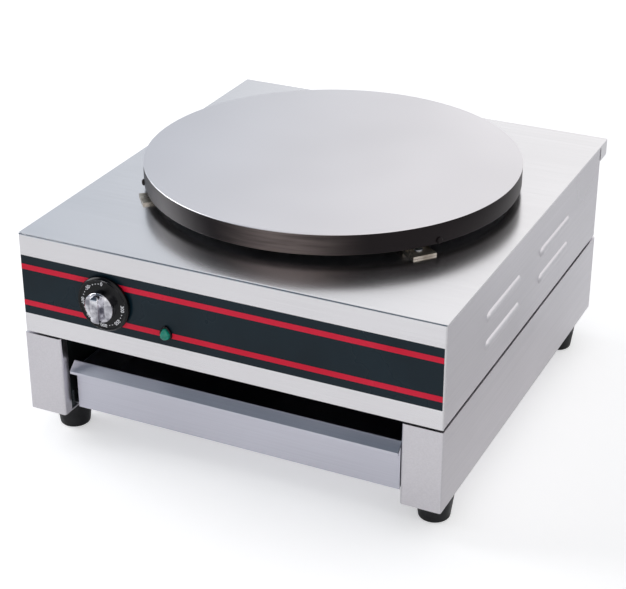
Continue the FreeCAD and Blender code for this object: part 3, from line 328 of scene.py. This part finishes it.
def oiled_iron(name, black, highlight_colour, highlight_x, highlight_half):
    """Cast iron under baked oil: near black and half glossy, with a painted grey-brown highlight round the
    front of the rim. The highlight's share falls off on both sides of one x, in streaks 4 mm high and 60 mm
    long."""
    material, tree, shader = new_material(name, black)
    place = add_node(tree, "ShaderNodeTexCoord", output="Object")
    streaked = add_node(tree, "ShaderNodeMapping", {"Vector": place,
                                                    "Scale": (1 / 0.060, 1 / 0.060, 1 / 0.004)})
    streaks = add_node(tree, "ShaderNodeTexNoise", {"Vector": streaked, "Scale": 1.0, "Detail": 3.0})
    x = add_node(tree, "ShaderNodeSeparateXYZ", {"Vector": place}, output="X")
    off = add_node(tree, "ShaderNodeMath", {0: x, 1: highlight_x}, operation="SUBTRACT")
    away = add_node(tree, "ShaderNodeMath", {0: off}, operation="ABSOLUTE")
    near = add_node(tree, "ShaderNodeMapRange", {"Value": away, "From Min": highlight_half, "From Max": 0.0},
                    interpolation_type="SMOOTHSTEP")
    share = add_node(tree, "ShaderNodeMath", {0: near, 1: streaks}, operation="MULTIPLY")
    colour = add_node(tree, "ShaderNodeMix", {"Factor": share, 6: linear(black), 7: linear(highlight_colour)}, output=2,
                      data_type="RGBA")
    grit = add_node(tree, "ShaderNodeTexNoise", {"Vector": place, "Scale": 1 / 0.0015, "Detail": 1.0})
    relief = add_node(tree, "ShaderNodeBump", {"Height": grit, "Strength": 0.3, "Distance": 0.00005})
    tree.links.new(colour, shader.inputs["Base Color"])
    tree.links.new(relief, shader.inputs["Normal"])
    shader.inputs["Roughness"].default_value = 0.42
    shader.inputs["Metallic"].default_value = 0.25
    shader.inputs["Specular IOR Level"].default_value = 0.2
    return material


plate_face = ground_iron("ground_cast_iron", "#E2DFE2", "#EBE8EB")
# Painted highlight: the rim's front is grey-brown in streaks around x = 35 mm.
plate_skin_and_highlight = oiled_iron("oil_baked_cast_iron_painted_highlight", "#1B1517", "#9A8C88", highlight_x=0.035, highlight_half=0.080)
plate_profile = rounded([(0, hollow_top - boss_height), (boss_radius, hollow_top - boss_height),
                         (boss_radius, hollow_top), (hollow_radius, hollow_top),
                         (hollow_radius, plate_bottom), (plate_radius, plate_bottom),
                         (plate_radius, plate_top), (0, plate_top)],
                        [0.0010, 0.0015, 0.0030, 0.0008, 0.0014, 0.0010])
plate_points, plate_faces = turned(plate_profile, spokes=256)
plate_points[:, 0] += plate_middle.x
plate_points[:, 1] += plate_middle.y
plate_mesh = add_piece("griddle_disc", plate_points, plate_faces, "casing",
                       [plate_face, plate_skin_and_highlight], ["griddle_plate"])
face_middles = np.empty(len(plate_mesh.polygons) * 3)
plate_mesh.polygons.foreach_get("center", face_middles)
below_the_face = face_middles[2::3] < plate_top - ground_depth
plate_mesh.polygons.foreach_set("material_index", below_the_face.astype(np.int32))
dress(plate_skin_and_highlight, "rim_screws")


# The plate's brackets
# Stamped from 2.5 mm steel and screwed to the top cover, with a step up under the plate's rim. Heat has
# tinted them straw and grey, so they glint in patches.

tinted_steel = mottled("heat_tinted_steel", "#8C8376", "#C4BDB2", 0.32, patch=0.012, metal=0.9)
dress(tinted_steel, "plate_bracket_front_left", "plate_bracket_front_right", "plate_bracket_rear_left",
      "plate_bracket_rear_right")


# The thermostat
# Its body, screwed behind the apron, is unglazed steatite, chalky and cream, as is the terminal block on
# the floor. The spindle is turned steel, bright and even, and the bulb drawn copper, reddish and half
# bright.

steatite = mottled("unglazed_steatite", "#D2CCBE", "#DED9CE", 0.6, patch=0.010)
dress(steatite, "thermostat_body", "terminal_block")
dress(mottled("drawn_copper", "#A8674A", "#C17F5E", 0.34, patch=0.010, metal=1.0), "sensing_bulb")
dress(mottled("turned_steel", "#A2A4A8", "#B4B6BA", 0.3, patch=0.004, metal=1.0), "thermostat_shaft")


# The dial
# A skirt of moulded black phenolic, deep and glossy, with its numbers and dots printed in white. Its cap is
# chromed, with a grip bar, and the chrome's colour drifts from dark grey to near white in patches, as
# painted reflections.

phenolic = mottled("moulded_phenolic", "#030305", "#08080B", 0.2, patch=0.012, shine=0.3)
dress(phenolic, "lamp_body", "lamp_nut", "cable_gland", "gland_nut")
# Painted reflections: the chrome's colour drifts from dark grey to near white in patches 8 mm wide.
dress(mottled("chrome_painted_reflections", "#8E8D96", "#F4F3F8", 0.1, patch=0.008, metal=1.0), "knob_cap")


def faced_front(points, x, back, z):
    """Lays Z-up points down so that their top faces the front: (x, y, z) goes to (x, -z, y), with the foot
    at the place given."""
    return np.stack([points[:, 0] + x, back - points[:, 2], points[:, 1] + z], -1)


dial_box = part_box("knob_skirt")
dial_x, dial_z = (dial_box[0].x + dial_box[1].x) / 2, (dial_box[0].z + dial_box[1].z) / 2
dial_radius = (dial_box[1].x - dial_box[0].x) / 2
dial_back, dial_depth = dial_box[1].y, dial_box[1].y - dial_box[0].y
dial_bore, dial_slope, dial_ridge, dial_foot = 0.0135, 0.0010, 0.0018, 0.0010
dial_flat, dial_dip = dial_bore + 0.003, dial_radius - 2 * dial_ridge
dial_profile = rounded([(dial_bore, dial_foot), (dial_bore, dial_depth), (dial_flat, dial_depth),
                        (dial_dip, dial_depth - dial_slope), (dial_radius - dial_ridge, dial_depth),
                        (dial_radius, dial_depth - dial_ridge), (dial_radius, 0.0),
                        (dial_radius - 0.0015, 0.0), (dial_radius - 0.0020, dial_foot)],
                       [0.0002, 0.0003, 0.0006, 0.0005, 0.0008, 0.0004, 0.0003])
skirt_points, skirt_faces = turned(dial_profile)
skirt_points = faced_front(skirt_points, dial_x, dial_back, dial_z)
add_piece("dial_skirt", skirt_points, skirt_faces, "knob", [phenolic], ["knob_skirt"])

number_height, number_ring, number_step, highest_number = 0.0050, 0.0221, 45, 300
dot_radius, dots_between, ink_lift = 0.0006, 4, 0.00006


def printed_number(text):
    """A number's flat outline, made a mesh: its points about its own middle, with its top towards +Y, and
    faces."""
    letters = bpy.data.curves.new("number", "FONT")
    letters.body = text
    letters.size = number_height
    letters.align_x = "CENTER"
    letters.align_y = "CENTER"
    letters.offset = number_height * 0.025
    letters.resolution_u = 3
    holder = bpy.data.objects.new("number", letters)
    outline = bpy.data.meshes.new_from_object(holder)
    bpy.data.objects.remove(holder)
    points = np.empty(len(outline.vertices) * 3)
    outline.vertices.foreach_get("co", points)
    return points.reshape(-1, 3)[:, :2], [list(face.vertices) for face in outline.polygons]


def printed_dot(sides=12):
    """A dot: one face whose corners go evenly round a circle."""
    angle = np.linspace(0, 2 * np.pi, sides, endpoint=False)
    return dot_radius * np.stack([np.cos(angle), np.sin(angle)], -1), [list(range(sides))]


ink_points, ink_faces = np.empty((0, 3)), []
marks = [(printed_number(str(number)), 90 + number_step * k)
         for k, number in enumerate(range(0, highest_number + 1, 50))]
marks += [(printed_dot(), 90 + number_step * (k + step / (dots_between + 1)))
          for k in range(highest_number // 50) for step in range(1, dots_between + 1)]
for (flat, faces), degrees in marks:
    turn = math.radians(degrees)
    across, outwards = flat[:, 0], flat[:, 1] + number_ring
    x = across * math.sin(turn) + outwards * math.cos(turn)
    z = outwards * math.sin(turn) - across * math.cos(turn)
    sunk = np.interp(np.hypot(x, z), [dial_flat, dial_dip], [0, dial_slope])
    ink_faces += [[len(ink_points) + corner for corner in face] for face in faces]
    y = dial_back - dial_depth + sunk - ink_lift
    ink_points = np.vstack([ink_points, np.stack([dial_x + x, y, dial_z + z], -1)])
white_ink = mottled("white_printing_ink", "#E4E4E8", "#F4F4F8", 0.5, patch=0.004, depth=0.00001)
add_piece("dial_numbers", ink_points, ink_faces, "knob", [white_ink])


# The lamp
# A lens of green acrylic, drawn up to a point, in a bezel of black phenolic. Light passes into the lens, so
# it is a deep, wet green with a bright spot near its tip.

bezel_box, lens_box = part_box("lamp_bezel"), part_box("lamp_lens")
lamp_x, lamp_z = (lens_box[0].x + lens_box[1].x) / 2, (lens_box[0].z + lens_box[1].z) / 2
bezel_radius, lens_radius = (bezel_box[1].x - bezel_box[0].x) / 2, (lens_box[1].x - lens_box[0].x) / 2
film_clearance = 0.00035
lamp_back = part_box("control_decal")[0].y - film_clearance
lens_reach = lamp_back - lens_box[0].y


def drawn_up(points, stretch=1.35, pinch=0.35):
    """Makes a round outline a drop: above the middle, heights grow by the stretch, and widths shrink with
    height by up to the pinch."""
    height = points[:, 1] / max(points[:, 1].max(), 1e-9)
    narrowed = points[:, 0] * (1 - pinch * np.clip(height, 0, 1) ** 2)
    return np.stack([narrowed, np.where(height > 0, stretch, 1) * points[:, 1], points[:, 2]], -1)


seat_radius, seat_height, bezel_clear, bezel_height = lens_radius - 0.0015, 0.0006, 0.0002, 0.0024
bezel_profile = rounded([(seat_radius, 0.0), (seat_radius, seat_height),
                         (lens_radius + bezel_clear, seat_height), (lens_radius + bezel_clear, bezel_height),
                         (bezel_radius - 0.0003, bezel_height - 0.0003), (bezel_radius, 0.0)],
                        [0.0001, 0.0001, 0.0003, 0.0008])
bezel_points, bezel_faces = turned(bezel_profile, spokes=96)
bezel_points = faced_front(drawn_up(bezel_points), lamp_x, lamp_back, lamp_z)
add_piece("lamp_surround", bezel_points, bezel_faces, "casing", [phenolic], ["lamp_bezel"])

# The dome's radius at a share t of its rise is r (1 - t^1.7)^0.5.
lens_foot, dome_foot = 0.0008, 0.0020
rise = np.linspace(0, 1, 18)
dome = np.stack([lens_radius * np.sqrt(1 - rise ** 1.7), dome_foot + (lens_reach - dome_foot) * rise], -1)
lens_profile = np.concatenate([[(0, lens_foot), (lens_radius, lens_foot)], dome])
lens_profile[-1, 0] = 0
lens_points, lens_faces = turned(lens_profile, spokes=64)
lens_points = faced_front(drawn_up(lens_points), lamp_x, lamp_back, lamp_z)
acrylic = mottled("green_acrylic", "#008C78", "#14B49A", 0.1, patch=0.006, depth=0.000004)
acrylic.node_tree.nodes["Principled BSDF"].inputs["Transmission Weight"].default_value = 0.2
add_piece("lamp_lens_drop", lens_points, lens_faces, "casing", [acrylic], ["lamp_lens"])


# The wiring
# Wires in woven silicone sleeve, chalky and soft, which run from the terminal block to the thermostat, the
# lamp and the heaters. In the rear panel stands a stud with nuts of turned brass, yellow and bright, for a
# bonding wire.

silicone_sleeve = mottled("woven_silicone_sleeve", "#C4BFB0", "#D6D1C4", 0.7, patch=0.003)
brass = mottled("turned_brass", "#B0925A", "#C7A96C", 0.3, patch=0.004, metal=1.0)
dress(silicone_sleeve, "internal_wires")
dress(brass, "bonding_stud", "bonding_nuts")


# The floor
# White paper. What looks at it straight, through the lens or in a reflection sees it brighter than the
# lamps make it. A reflection sees least of that far to the left and to the right of the machine, so its
# right side mirrors a greyer floor.

floor_radius, floor_sides = 6.0, 96
floor_angle = np.linspace(0, 2 * np.pi, floor_sides, endpoint=False)
floor_mesh = bpy.data.meshes.new("paper_floor")
floor_rim = floor_radius * np.stack([np.cos(floor_angle), np.sin(floor_angle), 0 * floor_angle], -1)
floor_mesh.from_pydata(floor_rim.tolist(), [], [list(range(floor_sides))])
paper, paper_tree, paper_shader = new_material("white_paper", "#F2F2F3")
paper_shader.inputs["Base Color"].default_value = linear("#EFEFF0")
paper_shader.inputs["Roughness"].default_value = 0.9
paper_shader.inputs["Specular IOR Level"].default_value = 0.1
paper_shader.inputs["Emission Color"].default_value = linear("#FFFFFF")
paper_place = add_node(paper_tree, "ShaderNodeTexCoord", output="Object")
paper_x = add_node(paper_tree, "ShaderNodeSeparateXYZ", {"Vector": paper_place}, output="X")
left_glow = add_node(paper_tree, "ShaderNodeMapRange", {"Value": paper_x, "From Min": -0.5,
                                                        "From Max": 0.0, "To Min": 0.0, "To Max": 0.14})
right_share = add_node(paper_tree, "ShaderNodeMapRange", {"Value": paper_x, "From Min": 0.23,
                                                          "From Max": 0.31, "To Min": 1.0, "To Max": 0.1})
mirror_glow = add_node(paper_tree, "ShaderNodeMath", {0: left_glow, 1: right_share}, operation="MULTIPLY")
paper_mirrored = add_node(paper_tree, "ShaderNodeLightPath", output="Is Glossy Ray")
paper_straight = add_node(paper_tree, "ShaderNodeLightPath", output="Is Camera Ray")
paper_through = add_node(paper_tree, "ShaderNodeLightPath", output="Is Transmission Ray")
paper_seen = add_node(paper_tree, "ShaderNodeMath", {0: paper_straight, 1: paper_through},
                      operation="MAXIMUM")
seen_glow = add_node(paper_tree, "ShaderNodeMath", {0: paper_seen, 1: 0.45}, operation="MULTIPLY")
glow = add_node(paper_tree, "ShaderNodeMath", {0: paper_mirrored, 1: mirror_glow, 2: seen_glow},
                operation="MULTIPLY_ADD")
paper_tree.links.new(glow, paper_shader.inputs["Emission Strength"])
paper_floor = bpy.data.objects.new("paper_floor", floor_mesh)
floor_mesh.materials.append(paper)
bpy.context.scene.collection.objects.link(paper_floor)


# The studio's walls
# White, blue-grey on the left, with a slate cloth hung high to the left of the front. They show in the
# steel at full strength and light everything else at under three quarters of it.

studio = bpy.data.worlds.new("studio_walls")
bpy.context.scene.world = studio
studio.use_nodes = True
walls = studio.node_tree
walls.nodes.clear()
wall_direction = add_node(walls, "ShaderNodeTexCoord", output="Generated")
wall_x = add_node(walls, "ShaderNodeSeparateXYZ", {"Vector": wall_direction}, output="X")
wall_share = add_node(walls, "ShaderNodeMapRange", {"Value": wall_x, "From Min": -0.62, "From Max": -0.22},
                      interpolation_type="SMOOTHSTEP")
wall_colour = add_node(walls, "ShaderNodeMix", {"Factor": wall_share, 6: linear("#BFC8D2"),
                                                7: linear("#FFFFFF")}, output=2, data_type="RGBA")
cloth_direction = Vector((-0.44, -0.44, 0.78)).normalized()
cloth_nearness = add_node(walls, "ShaderNodeVectorMath", {0: wall_direction, 1: cloth_direction},
                          output="Value", operation="DOT_PRODUCT")
cloth_share = add_node(walls, "ShaderNodeMapRange", {"Value": cloth_nearness, "From Min": 0.78,
                                                     "From Max": 0.92}, interpolation_type="SMOOTHSTEP")
studio_colour = add_node(walls, "ShaderNodeMix", {"Factor": cloth_share, 6: wall_colour,
                                                  7: linear("#525E6A")}, output=2, data_type="RGBA")
wall_mirrored = add_node(walls, "ShaderNodeLightPath", output="Is Glossy Ray")
wall_straight = add_node(walls, "ShaderNodeLightPath", output="Is Camera Ray")
wall_through = add_node(walls, "ShaderNodeLightPath", output="Is Transmission Ray")
backdrop_seen = add_node(walls, "ShaderNodeMath", {0: wall_straight, 1: wall_through}, operation="MAXIMUM")
wall_seen = add_node(walls, "ShaderNodeMath", {0: backdrop_seen, 1: wall_mirrored}, operation="MAXIMUM")
wall_strength = add_node(walls, "ShaderNodeMapRange", {"Value": wall_seen, "To Min": 0.72, "To Max": 1.0})
seen_colour = add_node(walls, "ShaderNodeMix", {"Factor": backdrop_seen, 6: studio_colour,
                                                7: linear("#FFFFFF")}, output=2, data_type="RGBA")
light = add_node(walls, "ShaderNodeBackground", {"Color": seen_colour, "Strength": wall_strength})
studio_output = walls.nodes.new("ShaderNodeOutputWorld")
walls.links.new(light, studio_output.inputs["Surface"])


# The lamp over the machine
# One soft lamp, 2.2 m square, high on the left and a little to the front. It draws the soft shadow on the
# right.

key_place, key_aim = Vector((-2.9, -0.3, 1.9)), Vector((0, 0, 0.1))
key_light = bpy.data.lights.new("key_lamp", "AREA")
key_light.shape = "SQUARE"
key_light.size = 2.2
key_light.energy = 60
key_lamp = bpy.data.objects.new("key_lamp", key_light)
key_lamp.location = key_place
key_lamp.rotation_euler = (key_aim - key_place).to_track_quat("-Z", "Y").to_euler()
bpy.context.scene.collection.objects.link(key_lamp)


# The camera
# It stands where the photograph's stood: 1.79 m off, 25 degrees to the right of the front and 27 above the
# level.

azimuth, pitch, distance = math.radians(25.44), math.radians(27.10), 1.7851
camera_aim = Vector((-0.00943, -0.01524, 0.11))
level = math.cos(pitch)
forward = Vector((-math.sin(azimuth) * level, math.cos(azimuth) * level, -math.sin(pitch)))
camera_data = bpy.data.cameras.new("camera")
camera_data.lens = 96.26
camera_data.sensor_width = 36.0
camera = bpy.data.objects.new("camera", camera_data)
camera.location = camera_aim - forward * distance
camera.rotation_euler = forward.to_track_quat("-Z", "Y").to_euler()
bpy.context.scene.collection.objects.link(camera)
bpy.context.scene.camera = camera
bpy.context.scene.view_settings.view_transform = "Standard"
